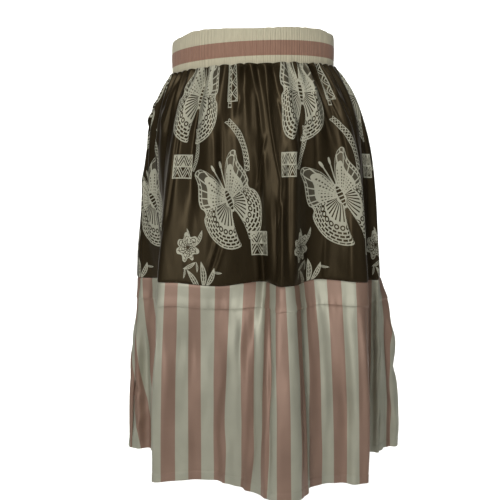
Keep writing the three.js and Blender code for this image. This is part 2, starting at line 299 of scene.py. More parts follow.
# Waves are given as a count round the cloth, how uneven their pace is, and a phase
gathers = {
    "fineWave": (42, 0.22, 0.13), "fineHeight": 5.5, "fineFade": 38.0, "fineVary": (9, 0.1, 0.7),
    "softWave": (19, 0.2, 0.35), "softHeight": 7.0, "softRise": 28.0, "softPower": 1.2,
    "softVary": (5, 0.1, 0.2),
    "fineEase": 3.0, "fineEaseFade": 50.0, "softEase": 2.5,
    "stress": 0.25, "nearStress": (97, 0.6, 0.31), "farStress": (61, 0.8, 0.77),
    "slack": 0.5,
    "archPower": 0.55, "archVary": (11, 0.3, 0.6), "swell": 3.6, "swellFrom": 2.4, "swellFade": 5.0,
    "puff": 2.4, "puffFade": 7.0,  # how far the fullest gathers ride up over the band's lower edge
    "tuckUnder": 2.0,  # the rows above the swell go back under the band's edge
}


def upperPoint(place, down):
    # The plan, moved outwards by the gathers, creases and fine stress lines, then given its height
    fall = np.maximum(down, 0)
    fineFade = np.exp(-fall / gathers["fineFade"])
    softFade = 1 - np.exp(-fall / gathers["softRise"])
    softFade = softFade * np.maximum(0, 1 - down / upperHeight) ** gathers["softPower"]
    fine = gathers["fineHeight"] * fineFade * (1 + 0.35 * unevenWave(place, *gathers["fineVary"]))
    soft = gathers["softHeight"] * softFade * (1 + 0.4 * unevenWave(place, *gathers["softVary"]))
    fineTurn = unevenTurn(place, *gathers["fineWave"])
    out = fine * np.sin(fineTurn) + soft * unevenWave(place, *gathers["softWave"])
    near = unevenWave(place, *gathers["nearStress"]) * np.exp(-((down - 14) / 40) ** 2)
    far = unevenWave(place + 0.05 * down, *gathers["farStress"]) * np.exp(-((down - 60) / 70) ** 2)
    out = out + gathers["stress"] * (near + 0.7 * far)
    out = out + creaseField(upperCreases, place, down) + crumpleField(upperCrumples, place, down)
    ends = smooth(0, 40, down) * smooth(upperHeight, upperHeight - 30, down)
    out = out + gathers["slack"] * slack(place, down) * ends
    # Each gather is an arch, |sin| of half its turn, that swells out over the band's lower edge
    arch = np.abs(np.sin(fineTurn / 2 + math.pi / 4)) ** gathers["archPower"]
    arch = arch * (0.7 + 0.3 * unevenWave(place, *gathers["archVary"]))
    top = np.exp(-fall / gathers["swellFade"])
    out = (1 - top) * out + top * (gathers["swellFrom"] + gathers["swell"] * arch)
    puff = gathers["puff"] * arch * np.exp(-fall / gathers["puffFade"])
    under = np.clip(-down, 0, gathers["tuckUnder"])
    out = np.where(under > 0, 2.0 * (gathers["tuckUnder"] - under), out)
    flat = upperPlan(place, down) + outward(upperPlan, place, down) * out[..., None]
    edge = -waist["height"] / 2 - cloth["gap"] - waist["drop"] + waist["tilt"] * flat[..., 0]
    high = edge + np.where(under > 0, -cloth["gap"], puff)
    bottom = cloth["tierSeam"] + cloth["gap"] - alongFolds(4, place)
    share = fall / upperHeight
    return np.stack([flat[..., 0], flat[..., 1], high + (bottom - high) * share], -1)


tuck = {
    "down": 34.0, "depth": 1.1, "rise": 16.0, "fall": 3.2, "wander": 0.9, "wanderWave": (13, 0.8, 0.4),
    "pucker": 0.4, "puckerWave": (74, 1.6, 0.2), "puckerFade": 12.0,
}
hemTurn = {
    "height": 13.0, "depth": 0.35, "edge": 0.6, "groove": 0.35, "grooveWidth": 1.1,
    "flutter": 1.2, "flutterWave": (31, 0.9, 0.6),
}
lowerSlack = {"height": 0.7, "shift": 400.0, "from": 60.0}


def lowerPoint(place, down):
    # The plan, moved outwards by the creases, the tuck's lip and the turned hem, then given its height
    share = down / lowerHeight
    lipAt = tuck["down"] + tuck["wander"] * unevenWave(place, *tuck["wanderWave"])
    lip = tuck["depth"] * smooth(lipAt - tuck["rise"], lipAt - 2, down)
    lip = lip * (1 - smooth(lipAt, lipAt + tuck["fall"], down))
    pucker = np.exp(-np.abs(down - lipAt) / tuck["puckerFade"])
    pucker = tuck["pucker"] * unevenWave(place, *tuck["puckerWave"]) * pucker
    pastTurn = down - (lowerHeight - hemTurn["height"])  # distance below the hem's upper edge
    hemStep = hemTurn["depth"] * smooth(-hemTurn["edge"], hemTurn["edge"], pastTurn)
    groove = -hemTurn["groove"] * np.exp(-((pastTurn / hemTurn["grooveWidth"]) ** 2))
    flutter = hemTurn["flutter"] * unevenWave(place, *hemTurn["flutterWave"]) * smooth(0.6, 1.0, share)
    out = lip + pucker + hemStep + groove + flutter
    out = out + creaseField(lowerCreases, place, down) + crumpleField(lowerCrumples, place, down)
    hang = slack(place + lowerSlack["shift"], down) * smooth(0, lowerSlack["from"], down)
    out = out + lowerSlack["height"] * hang
    flat = lowerPlan(place, share) + outward(lowerPlan, place, share) * out[..., None]
    top = cloth["tierSeam"] - cloth["gap"] - alongFolds(4, place)
    return np.stack([flat[..., 0], flat[..., 1], top + (cloth["hem"] - top) * share], -1)


# Colours and nodes
def linear(hexColour):
    # sRGB hex to linear: c/12.92 below 0.04045, else ((c + 0.055) / 1.055) to the power 2.4
    parts = [int(hexColour[i : i + 2], 16) / 255 for i in (1, 3, 5)]
    return tuple(c / 12.92 if c <= 0.04045 else ((c + 0.055) / 1.055) ** 2.4 for c in parts) + (1.0,)


def addNode(tree, kind, inputs=None, **settings):
    # A node with its settings, its inputs' values and its links
    node = tree.nodes.new(kind if kind.startswith("NodeGroup") else "ShaderNode" + kind)
    for name, value in settings.items():
        setattr(node, name, value)
    for key, value in (inputs or {}).items():
        if isinstance(value, bpy.types.NodeSocket):
            tree.links.new(value, node.inputs[key])
        else:
            node.inputs[key].default_value = value
    return node


def newMaterial(name):
    material = bpy.data.materials.new(name)
    material.use_nodes = True
    material.node_tree.nodes.clear()
    return material, material.node_tree


def finishMaterial(tree, colour, bump, settings):
    inputs = {"Base Color": colour, "Normal": bump, **settings}
    shader = addNode(tree, "BsdfPrincipled", inputs)
    addNode(tree, "OutputMaterial", {"Surface": shader.outputs["BSDF"]})


def clothCoordinates(tree):
    # The cut cloth's own map: across and down, in millimetres
    uv = addNode(tree, "UVMap", uv_map="clothMap")
    inputs = {0: uv.outputs[0], "Scale": 1 / mm}
    scaled = addNode(tree, "VectorMath", inputs, operation="SCALE")
    split = addNode(tree, "SeparateXYZ", {0: scaled.outputs[0]})
    return scaled.outputs[0], split.outputs["X"], split.outputs["Y"]


# Short words for a Math node's operations; *+ multiplies the first two and adds the third
operations = {
    "*": "MULTIPLY", "*+": "MULTIPLY_ADD", "/": "DIVIDE", "+": "ADD", "-": "SUBTRACT", "<": "LESS_THAN",
    ">": "GREATER_THAN", "max": "MAXIMUM", "min": "MINIMUM", "abs": "ABSOLUTE",
}


def runSteps(tree, known, steps, curveRows=None):
    # Each row is a name, an operation and its inputs, which are numbers or earlier names.
    # The operation CURVE reads a value off the curve through curveRows
    made = dict(known)
    for name, operation, *values in steps:
        inputs = {i: made[v] if isinstance(v, str) else v for i, v in enumerate(values)}
        if operation == "CURVE":
            node = addNode(tree, "FloatCurve", {"Value": inputs[0]})
            curve = node.mapping.curves[0]
            for at, value in curveRows[1:-1]:
                curve.points.new(at, value)
            for point, (at, value) in zip(curve.points, curveRows):
                point.location = (at, value)
                point.handle_type = "AUTO_CLAMPED"
            node.mapping.update()
        else:
            node = addNode(tree, "Math", inputs, operation=operations.get(operation, operation))
        made[name] = node.outputs[0]
    return made


def stretchedNoise(tree, vector, scale, detail):
    # Noise with its own scale across and down the cloth
    grain = addNode(tree, "Mapping", {"Vector": vector, "Scale": (*scale, 1)})
    inputs = {"Vector": grain.outputs[0], "Scale": 1.0, "Detail": detail}
    return addNode(tree, "TexNoise", inputs).outputs[0]


def twoBumps(tree, first, second):
    # One bump on top of another, each a height, a strength and a distance in metres
    normal = {}
    for height, strength, distance in (first, second):
        inputs = {"Strength": strength, "Distance": distance, "Height": height, **normal}
        normal = {"Normal": addNode(tree, "Bump", inputs).outputs[0]}
    return normal["Normal"]


def satinBump(tree, vector, strength, distance):
    # Satin's floats: close fine lines along the cloth, with slack, slightly uneven tension across it
    floats = stretchedNoise(tree, vector, (2.2, 0.25), 3.0)
    tension = stretchedNoise(tree, vector, (0.09, 0.022), 2.0)
    return twoBumps(tree, (floats, strength, distance), (tension, 0.35, 0.0012))


def noiseTone(tree, noise, low, high):
    # A slight change of tone that follows a noise, as a factor between low and high
    inputs = {0: noise, 1: 0.3, 2: 0.7, 3: low, 4: high}
    return addNode(tree, "MapRange", inputs).outputs[0]


def timesTone(tree, colour, tone):
    inputs = {0: colour, "Scale": tone}
    return addNode(tree, "VectorMath", inputs, operation="SCALE").outputs[0]


def slowTone(tree, vector, colour, low, high):
    # The slow, slight change of tone over a length of dyed cloth
    noise = addNode(tree, "TexNoise", {"Vector": vector, "Scale": 0.02, "Detail": 2.0})
    return timesTone(tree, colour, noiseTone(tree, noise.outputs[0], low, high))


def stripeOver(tree, place, middle, width, edge, plain, stripe):
    # One colour, with a stripe of another whose edges are as soft as a thread
    made = runSteps(tree, {"place": place}, [
        ("fromMiddle", "-", "place", middle),
        ("reach", "abs", "fromMiddle"),
    ])
    inputs = {0: made["reach"], 1: width / 2 - edge, 2: width / 2 + edge, 3: 1.0, 4: 0.0}
    share = addNode(tree, "MapRange", inputs, interpolation_type="SMOOTHSTEP").outputs[0]
    inputs = {0: share, 6: linear(plain), 7: linear(stripe)}
    return addNode(tree, "Mix", inputs, data_type="RGBA").outputs[2]


# The print: each motif is drawn by named steps from its own x and y, in millimetres about its middle.
# The butterfly stands upright, its wings edged by rows of: share of the half turn from straight down
# to straight up, reach over 80 mm
wingEdge = [
    (0.0, 0.2), (0.05, 0.26), (0.07, 0.34), (0.083, 0.9), (0.1, 0.94), (0.14, 0.945), (0.217, 0.92),
    (0.306, 0.84), (0.39, 0.74), (0.46, 0.66), (0.505, 0.58), (0.53, 0.585), (0.57, 0.64), (0.63, 0.67),
    (0.7, 0.69), (0.76, 0.73), (0.8, 0.8), (0.83, 0.89), (0.86, 0.95), (0.89, 0.91), (0.915, 0.75),
    (0.94, 0.46), (1.0, 0.16),
]
butterflySteps = [
    ("side", "abs", "x"), ("sideSquare", "*", "x", "x"), ("reachSquare", "*+", "y", "y", "sideSquare"),
    ("reach", "SQRT", "reachSquare"), ("angle", "ARCTAN2", "y", "side"),
    ("reachCube", "*", "reachSquare", "reach"), ("curl", "min", "reachCube", 800000),
    ("bent", "*+", "curl", 3.4e-7, "angle"),  # the tips curl
    ("openTurn", "*+", "bent", 1 / 3.14159, 0.5), ("turn", "min", "openTurn", 1),
    ("edge", "CURVE", "turn"), ("edgeMm", "*", "edge", 80), ("rho", "/", "reach", "edgeMm"),
    ("inWing", "<", "rho", 1), ("rimIn", "-", "edgeMm", "reach"), ("rim", "<", "rimIn", 2),
    ("foreward", ">", "angle", 0.1), ("isHind", "-", 1, "foreward"), ("fromFork", "-", "angle", 0.1),
    ("forkSide", "abs", "fromFork"), ("forkMm", "*", "forkSide", "reach"), ("fork", "<", "forkMm", 1.1),
    # the inner fan: pale, with dark slits in the hindwing and rows of dots in the forewing
    ("fanEdge", "*+", "foreward", 0.09, 0.58), ("fan", "<", "rho", "fanEdge"),
    ("spokeTurn", "PINGPONG", "angle", 0.088), ("spokeMm", "*", "spokeTurn", "reach"),
    ("slitWide", "*+", "rho", 1.7, 0.3), ("slitThin", "<", "spokeMm", "slitWide"),
    ("slitFrom", ">", "rho", 0.15), ("slitEnd", "-", "fanEdge", 0.055), ("slitTo", "<", "rho", "slitEnd"),
    ("slitSpan", "*", "slitFrom", "slitTo"), ("slit", "*", "slitThin", "slitSpan"),
    ("dotRow", "PINGPONG", "reach", 2.45), ("dotShort", "<", "dotRow", 1.35),
    ("dotOrHind", "max", "dotShort", "isHind"), ("hole", "*", "slit", "dotOrHind"),
    ("fanInk", "-", "fan", "hole"),
    # the forewing's outer cells
    ("cellTurn", "PINGPONG", "angle", 0.12), ("cellMm", "*", "cellTurn", "reach"),
    ("cellWall", "<", "cellMm", 0.95), ("arcOne", "COMPARE", "rho", 0.69, 0.02),
    ("arcTwo", "COMPARE", "rho", 0.89, 0.014), ("tipOut", ">", "rho", 0.89),
    ("tipTurn", "PINGPONG", "angle", 0.06), ("tipMm", "*", "tipTurn", "reach"),
    ("tipWall", "<", "tipMm", 1), ("tipInk", "*", "tipWall", "tipOut"),
    ("foreA", "max", "cellWall", "arcOne"), ("foreB", "max", "arcTwo", "tipInk"),
    ("foreC", "max", "foreA", "foreB"), ("foreD", "max", "foreC", 0.12),
    ("foreInk", "*", "foreD", "foreward"),
    # the hindwing's chain of rings, then a lattice of dark bricks
    ("ringTurn", "PINGPONG", "angle", 0.097), ("ringAlong", "*", "ringTurn", "reach"),
    ("ringOff", "-", "rho", 0.65), ("ringAcross", "*", "ringOff", "edgeMm"),
    ("ringA", "*", "ringAlong", "ringAlong"), ("ringB", "*+", "ringAcross", "ringAcross", "ringA"),
    ("ringFar", "SQRT", "ringB"), ("ring", "COMPARE", "ringFar", 3.1, 1.05),
    ("chainBand", "<", "rho", 0.72), ("chainInk", "-", "chainBand", "ring"),
    ("rowCount", "*+", "rho", 14, -10.08), ("rowOff", "PINGPONG", "rowCount", 0.5),
    ("rowLine", "<", "rowOff", 0.2), ("rowIndex", "FLOOR", "rowCount"),
    ("skew", "*+", "rowIndex", 0.072, "angle"), ("brickTurn", "PINGPONG", "skew", 0.072),
    ("brickMm", "*", "brickTurn", "reach"), ("brickWall", "<", "brickMm", 1),
    ("latticeA", "max", "rowLine", "brickWall"), ("latticeOut", ">", "rho", 0.72),
    ("latticeInk", "*", "latticeA", "latticeOut"), ("hindA", "max", "chainInk", "latticeInk"),
    ("outOfFan", "-", 1, "fan"), ("hindB", "*", "hindA", "outOfFan"),
    ("hindInk", "*", "hindB", "isHind"), ("wingA", "max", "fanInk", "foreInk"),
    ("wingB", "max", "wingA", "hindInk"), ("wingC", "max", "rim", "fork"),
    ("wingD", "max", "wingB", "wingC"), ("wings", "*", "wingD", "inWing"),
    # the barred body and the clubbed antennae
    ("bodyX", "/", "side", 5.4), ("bodyY", "/", "y", 20), ("bodyXX", "*", "bodyX", "bodyX"),
    ("body", "*+", "bodyY", "bodyY", "bodyXX"), ("inBody", "<", "body", 1),
    ("bodyRim", ">", "body", 0.7), ("barAlong", "PINGPONG", "y", 2.8), ("bar", "<", "barAlong", 0.8),
    ("bodyLines", "max", "bodyRim", "bar"), ("bodyInk", "*", "bodyLines", "inBody"),
    ("outOfBody", "-", 1, "inBody"), ("wingsClear", "*", "wings", "outOfBody"),
    ("feelerX", "*+", "y", 0.14, -0.8), ("feelerOff", "-", "side", "feelerX"),
    ("feelerNear", "COMPARE", "feelerOff", 0, 0.95), ("feelerLow", ">", "y", 15),
    ("feelerHigh", "<", "y", 56), ("feelerA", "*", "feelerNear", "feelerLow"),
    ("feeler", "*", "feelerA", "feelerHigh"), ("knobX", "/", "feelerOff", 2.1),
    ("knobY", "*+", "y", 0.17, -9.4), ("knobXX", "*", "knobX", "knobX"),
    ("knobFar", "*+", "knobY", "knobY", "knobXX"), ("knob", "<", "knobFar", 1),
    ("feelers", "max", "feeler", "knob"), ("inkA", "max", "wingsClear", "bodyInk"),
    ("ink", "max", "inkA", "feelers"),
]
blockSteps = [  # a square 36 mm wide: dark triangles on pale above, pale triangles on dark below
    ("side", "abs", "x"), ("high", "abs", "y"), ("far", "max", "side", "high"),
    ("inBlock", "<", "far", 18), ("rim", ">", "far", 16.2), ("middle", "<", "high", 1.1),
    ("zigzag", "PINGPONG", "x", 9), ("drop", "*+", "zigzag", -1.7, 16.2), ("off", "-", "high", "drop"),
    ("line", "COMPARE", "off", 0, 1.7), ("innerNear", "COMPARE", "off", -6.6, 1.3),
    ("innerFar", "COMPARE", "off", 6.6, 1.3), ("inner", "max", "innerNear", "innerFar"),
    ("lines", "max", "line", "inner"), ("upper", ">", "y", 0), ("doubled", "*+", "lines", -2, 1),
    ("swapped", "*+", "upper", "doubled", "lines"), ("inkA", "max", "rim", "middle"),
    ("inkB", "max", "inkA", "swapped"), ("ink", "*", "inkB", "inBlock"),
]
ribbonSteps = [  # a lattice band along x, 88 mm long and 12 mm wide, that bows like an arc
    ("bowA", "*", "x", "x"), ("across", "*+", "bowA", 0.0075, "y"), ("wide", "abs", "across"),
    ("side", "abs", "x"), ("inLength", "<", "side", 44), ("inWidth", "<", "wide", 6),
    ("rim", ">", "wide", 4.7), ("zigzag", "PINGPONG", "x", 5.5), ("slopeA", "*+", "zigzag", 1.7, -4.7),
    ("crossOne", "-", "across", "slopeA"), ("lineOne", "COMPARE", "crossOne", 0, 1.4),
    ("crossTwo", "+", "across", "slopeA"), ("lineTwo", "COMPARE", "crossTwo", 0, 1.1),
    ("inkA", "max", "rim", "lineOne"), ("inkB", "max", "inkA", "lineTwo"),
    ("inRibbon", "*", "inLength", "inWidth"), ("ink", "*", "inkB", "inRibbon"),
]
stripSteps = [  # an upright patterned strip, 26 mm wide, with a narrow pendant below it
    ("side", "abs", "x"), ("inStrip", "<", "side", 13), ("above", ">", "y", -28),
    ("rim", ">", "side", 11.6), ("row", "PINGPONG", "y", 8), ("slopeA", "*+", "row", 1.45, -0.4),
    ("offA", "-", "side", "slopeA"), ("lineA", "COMPARE", "offA", 0, 1.5),
    ("offB", "PINGPONG", "offA", 3.4), ("lineB", "<", "offB", 1.1), ("leaf", ">", "offA", 0),
    ("lineC", "*", "lineB", "leaf"), ("foot", "<", "y", -26.6), ("inkA", "max", "rim", "lineA"),
    ("inkB", "max", "lineC", "foot"), ("inkC", "max", "inkA", "inkB"),
    ("stripArea", "*", "inStrip", "above"), ("stripInk", "*", "inkC", "stripArea"),
    ("pendantOff", "+", "x", 7), ("pendantSide", "abs", "pendantOff"),
    ("pendantIn", "<", "pendantSide", 4.2), ("pendantRim", ">", "pendantSide", 2.9),
    ("pendantStep", "PINGPONG", "y", 3), ("pendantBar", "<", "pendantStep", 0.8),
    ("pendantLow", ">", "y", -37), ("pendantA", "max", "pendantRim", "pendantBar"),
    ("pendantB", "*", "pendantA", "pendantIn"), ("pendant", "*", "pendantB", "pendantLow"),
    ("ink", "max", "stripInk", "pendant"),
]
petalEdge = [  # share of the whole turn, reach over 27 mm
    (0.0, 0.7), (0.06, 0.98), (0.13, 0.74), (0.2, 1.0), (0.27, 0.66), (0.33, 0.9), (0.38, 0.62), (0.46, 0.94),
    (0.54, 0.6), (0.62, 1.0), (0.7, 0.72), (0.78, 0.98), (0.86, 0.66), (0.93, 0.92), (1.0, 0.7),
]
flowerSteps = [  # a ruffled bloom 44 mm wide: pale petals parted by dark contour lines and veins
    ("narrow", "*", "x", 1.25), ("yLow", "*", "y", 1.22), ("xx", "*", "narrow", "narrow"),
    ("rr", "*+", "yLow", "yLow", "xx"), ("reach", "SQRT", "rr"), ("angle", "ARCTAN2", "yLow", "narrow"),
    ("turn", "*+", "angle", 1 / 6.28318, 0.5), ("edge", "CURVE", "turn"), ("edgeMm", "*", "edge", 27),
    ("rho", "/", "reach", "edgeMm"), ("inFlower", "<", "rho", 1), ("swirl", "*+", "angle", 0.11, "rho"),
    ("contour", "PINGPONG", "swirl", 0.115), ("contourMm", "*", "contour", "edgeMm"),
    ("contourLine", "<", "contourMm", 0.75), ("lean", "*+", "rho", 0.5, "angle"),
    ("vein", "PINGPONG", "lean", 0.24), ("veinMm", "*", "vein", "reach"),
    ("veinLine", "<", "veinMm", 0.6), ("inRim", "<", "rho", 0.9),
    ("darkA", "max", "contourLine", "veinLine"), ("dark", "*", "darkA", "inRim"),
    ("pale", "-", 1, "dark"), ("ink", "*", "pale", "inFlower"),
]
leafSteps = [  # a pointed leaf 40 mm long along y: pale, with a dark slit either side of its vein
    ("bow", "*", "y", "y"), ("across", "*+", "bow", 0.006, "x"), ("side", "abs", "across"),
    ("share", "*", "bow", -0.0025), ("room", "*+", "share", 4.4, 4.4), ("gap", "-", "room", "side"),
    ("inLeaf", ">", "gap", 0), ("rim", "<", "gap", 1.7), ("vein", "<", "side", 0.8),
    ("slant", "*+", "side", -1.2, "y"), ("ribs", "PINGPONG", "slant", 2.8), ("rib", "<", "ribs", 0.6),
    ("inkA", "max", "rim", "vein"), ("inkB", "max", "inkA", "rib"), ("ink", "*", "inkB", "inLeaf"),
]
# Where each motif lies in a repeat: motif, across, down, turn (degrees, anticlockwise), size
printRepeat = 250.0
motifRows = [
    ("butterfly", 124, 195, 24, 0.97), ("butterfly", 53, 41, -5, 0.95),
    ("triangle block", 34, 146, 0, 1.0), ("triangle block", 181, 262, 0, 1.0),
    ("lattice ribbon", 155, 111, -62, 1.0), ("lattice ribbon", 66, 122, -93, 0.72),
    ("patterned strip", 134, 24, 0, 1.0), ("flower", 52, 266, 0, 1.05),
    ("leaf", 73, 252, -26, 0.7), ("leaf", 53, 249, 13, 0.6),
    ("leaf", 56, 294, -62, 0.66), ("leaf", 69, 294, 5, 0.4),
    ("leaf", 47, 305, -8, 0.4), ("leaf", 64, 314, 35, 1.0),
    ("leaf", 79, 305, 4, 1.0), ("leaf", 90, 309, -24, 0.8),
    ("leaf", 99, 301, -100, 0.4),
]


def makeMotif(name, steps, edgeRows=None):
    # A group that takes a place in the motif's own millimetres and gives its ink, 0 to 1
    group = bpy.data.node_groups.new(name, "ShaderNodeTree")
    group.interface.new_socket("Place", in_out="INPUT", socket_type="NodeSocketVector")
    group.interface.new_socket("Ink", in_out="OUTPUT", socket_type="NodeSocketFloat")
    place = addNode(group, "NodeGroupInput")
    split = addNode(group, "SeparateXYZ", {0: place.outputs[0]})
    made = runSteps(group, {"x": split.outputs["X"], "y": split.outputs["Y"]}, steps, edgeRows)
    addNode(group, "NodeGroupOutput", {0: made["ink"]})
    return group


motifParts = {
    "butterfly": (butterflySteps, wingEdge), "triangle block": (blockSteps,), "leaf": (leafSteps,),
    "lattice ribbon": (ribbonSteps,), "patterned strip": (stripSteps,), "flower": (flowerSteps, petalEdge),
}
motifs = {name: makeMotif(name, *parts) for name, parts in motifParts.items()}


def printInk(tree, across, down):
    # The most ink of any motif, each in its own window of the repeat, turned and sized in place
    total = None
    for name, middleAcross, middleDown, turn, size in motifRows:
        made = runSteps(tree, {"across": across, "down": down}, [
            ("fromMiddle", "-", "across", middleAcross),
            ("x", "WRAP", "fromMiddle", printRepeat / 2, -printRepeat / 2),
            ("y", "-", middleDown, "down"),
        ])
        local = addNode(tree, "CombineXYZ", {0: made["x"], 1: made["y"]})
        turnBack, sizeBack = (0, 0, -math.radians(turn)), (1 / size, 1 / size, 1)
        inputs = {"Vector": local.outputs[0], "Rotation": turnBack, "Scale": sizeBack}
        turned = addNode(tree, "Mapping", inputs)
        ink = addNode(tree, "Group", {0: turned.outputs[0]}, node_tree=motifs[name]).outputs[0]
        if total is not None:
            ink = addNode(tree, "Math", {0: total, 1: ink}, operation="MAXIMUM").outputs[0]
        total = ink
    return total


# Polyester satin: long floats on the face, so broad soft highlights run down each fold. The wrong side
# has short floats, so it is duller
brownSatin = {
    "face": ("#261f13", 0.43), "wrongSide": ("#33291c", 0.7),  # colour, roughness
    "ink": "#a9a999", "inkRoughness": 0.2, "gloss": "#cbb998", "floats": 0.2, "tone": (0.88, 1.12),
}
stripes = {
    "face": ("#a6a696", "#8f7566", 0.56), "wrongSide": ("#9a9c8b", "#8a6659", 0.7),  # grey, pink, roughness
    "width": 20.0, "offset": 4.0, "edge": 0.35, "floats": 0.36, "tone": (0.93, 1.07),
}
# The band's tone range is painted: painted shade in the ribs' hollows, painted highlight on their crests
bandColours = {
    "cream": "#bbb59d", "pink": "#8f6d5b", "stripe": (19.5, 40.5), "edge": 0.4, "roughness": 0.75,
    "tone": (0.92, 1.06),
}


def brownMaterial(name, colour, roughness, printed):
    # Dark satin; where the ink lies, it is paler, rougher and has no shine of floats
    material, tree = newMaterial(name)
    vector, across, down = clothCoordinates(tree)
    plain = linear(colour)
    floats, shine = brownSatin["floats"], roughness
    if printed:
        ink = printInk(tree, across, down)
        made = runSteps(tree, {"ink": ink}, [
            ("floats", "*+", "ink", -floats, floats),
            ("shine", "*+", "ink", brownSatin["inkRoughness"], roughness),
        ])
        floats, shine = made["floats"], made["shine"]
        inputs = {0: ink, 6: plain, 7: linear(brownSatin["ink"])}
        plain = addNode(tree, "Mix", inputs, data_type="RGBA").outputs[2]
    else:
        plain = plain[:3]
    finishMaterial(
        tree, slowTone(tree, vector, plain, *brownSatin["tone"]), satinBump(tree, vector, 0.25, 0.0002),
        {"Roughness": shine, "Metallic": floats, "Specular IOR Level": 0.6,
         "Specular Tint": linear(brownSatin["gloss"])},
    )
    return material


def stripedMaterial(name, grey, pink, roughness):
    # Woven stripes of one width, grey and pink in turn
    material, tree = newMaterial(name)
    vector, across, down = clothCoordinates(tree)
    width = stripes["width"]
    made = runSteps(tree, {"across": across}, [
        ("shifted", "-", "across", stripes["offset"]),
        ("inPair", "WRAP", "shifted", 2 * width, 0.0),
    ])
    mixed = stripeOver(tree, made["inPair"], 1.5 * width, width, stripes["edge"], grey, pink)
    finishMaterial(
        tree, slowTone(tree, vector, mixed, *stripes["tone"]), satinBump(tree, vector, 0.2, 0.00015),
        {"Roughness": roughness, "Metallic": stripes["floats"], "Specular IOR Level": 0.6},
    )
    return material


def bandMaterial(name):
    # Woven elastic: cream with one pink stripe, drawn into fine upright ribs that keep it matt. Its tone
    # follows the ribs' relief, paler on their crests and darker in their hollows: painted highlight and
    # painted shade
    material, tree = newMaterial(name)
    vector, across, down = clothCoordinates(tree)
    low, high = bandColours["stripe"]
    colours = (bandColours["cream"], bandColours["pink"])
    mixed = stripeOver(tree, down, (low + high) / 2, high - low, bandColours["edge"], *colours)
    ribs = stretchedNoise(tree, vector, (0.55, 0.06), 3.0)
    weave = addNode(tree, "TexNoise", {"Vector": vector, "Scale": 1.6, "Detail": 2.0})
    # Painted shade and highlight: the noise that raises the ribs also darkens the colour in their hollows and
    # pales it on their crests
    finishMaterial(
        tree, timesTone(tree, mixed, noiseTone(tree, ribs, *bandColours["tone"])),
        twoBumps(tree, (weave.outputs[0], 0.3, 0.0003), (ribs, 0.6, 0.0008)),
        {"Roughness": bandColours["roughness"], "Sheen Weight": 0.2},
    )
    return material


printedSatin = brownMaterial("printed polyester satin", *brownSatin["face"], True)
satinBack = brownMaterial("wrong side of the printed satin", *brownSatin["wrongSide"], False)
stripedSatin = stripedMaterial("striped polyester satin", *stripes["face"])
stripedBack = stripedMaterial("wrong side of the striped satin", *stripes["wrongSide"])
wovenElastic = bandMaterial("woven ribbed elastic")


# Meshes
def gridMesh(name, points, clothMap, materials, closedRound=False):
    # A grid of points (rows down, columns along) as quads that face outwards, with the cloth's own map
    rows, columns = points.shape[:2]
    index = np.arange(rows * columns).reshape(rows, columns)
    if closedRound:
        index = np.concatenate([index, index[:, :1]], 1)
    quads = np.stack([index[:-1, :-1], index[1:, :-1], index[1:, 1:], index[:-1, 1:]], -1)
    quads = quads.reshape(-1, 4)
    mesh = bpy.data.meshes.new(name)
    mesh.vertices.add(rows * columns)
    mesh.vertices.foreach_set("co", (points.reshape(-1, 3) * mm).astype(np.float32).ravel())
    mesh.loops.add(quads.size)
    mesh.loops.foreach_set("vertex_index", quads.ravel().astype(np.int32))
    mesh.polygons.add(len(quads))
    mesh.polygons.foreach_set("loop_start", (np.arange(len(quads)) * 4).astype(np.int32))
    mesh.polygons.foreach_set("loop_total", np.full(len(quads), 4, np.int32))
    mesh.polygons.foreach_set("use_smooth", np.ones(len(quads), bool))
    corner = clothMap.reshape(-1, 2)[quads.ravel()]
    if closedRound:  # the last column's map runs on past the first
        lastColumn = np.tile(np.repeat(np.arange(columns) == columns - 1, 4), rows - 1)
        wrapped = lastColumn & (quads.ravel() % columns == 0)
        corner[wrapped, 0] += (clothMap[0, 1, 0] - clothMap[0, 0, 0]) * columns
    mesh.update(calc_edges=True)
    layer = mesh.uv_layers.new(name="clothMap")
    layer.data.foreach_set("uv", (corner * mm).astype(np.float32).ravel())
    for material in materials:
        mesh.materials.append(material)
    piece = bpy.data.objects.new(name, mesh)
    bpy.context.scene.collection.objects.link(piece)
    return piece


def addWall(piece, thickness):
    wall = piece.modifiers.new("wall", "SOLIDIFY")
    wall.thickness = thickness * mm
    wall.offset = -1.0  # inwards from the face
    wall.material_offset = 1
    wall.material_offset_rim = 0
    return piece


def seamTurn(distances):
    # Near a seam the cloth turns in towards it: a bell across each seam, from the distances to them
    return cloth["seamDepth"] * sum(np.exp(-((d / cloth["seamWidth"]) ** 2)) for d in distances)


# Columns along a panel, and its rows in millimetres below its top, closer where the form is finer
upperGrid = {
    "columns": 372,
    "rows": np.concatenate([
        [-2.0, -1.0], np.linspace(0, 12, 11), np.linspace(12, 60, 28)[1:], np.linspace(60, 316, 78)[1:],
        [318.0, 319.2, upperHeight],
    ]),
}
lowerGrid = {
    "columns": 360,
    "rows": np.concatenate([
        [0, 0.8, 2.0], np.linspace(4, 30, 12), np.linspace(31, 37, 13), np.linspace(40, 278, 70),
        np.linspace(280, lowerHeight, 14),
    ]),
}

# How far the striped cloth is eased along, and swings by the hem: place, shift at the seam, at the hem.
# A quick rise is cloth tucked into a crease
easeRows = np.array([
    (-330, 0, 0), (-225, 4, -50), (-130, 4, -46), (-60, 0, 0), (-10, 4, 4), (30, 8, 8), (70, 10, 10),
    (100, 8.5, 8), (144, 0, -1), (190, -7, -5), (225, -1, -2), (262, 1, 0), (305, -5, -4), (345, -5, -7),
    (393, -9, -10), (430, -25, -25), (480, 0, 0), (515, 20, 20), (559, 20, 20), (565, 40, 40), (593, 33, 33),
    (599, 33, 52), (820, 40, 40), (1170, 40, 40), (1275, 44, -10), (1370, 44, -6),
])

# How far the printed cloth is eased along, from 60 mm down: place, shift
printEaseRows = np.array([
    (-185, 32), (-100, -5), (-40, 0), (150, 0), (161, 2), (203, -9), (214, -9), (238, 27), (268, 34),
    (376, 0), (1210, 0), (1315, 32),
])


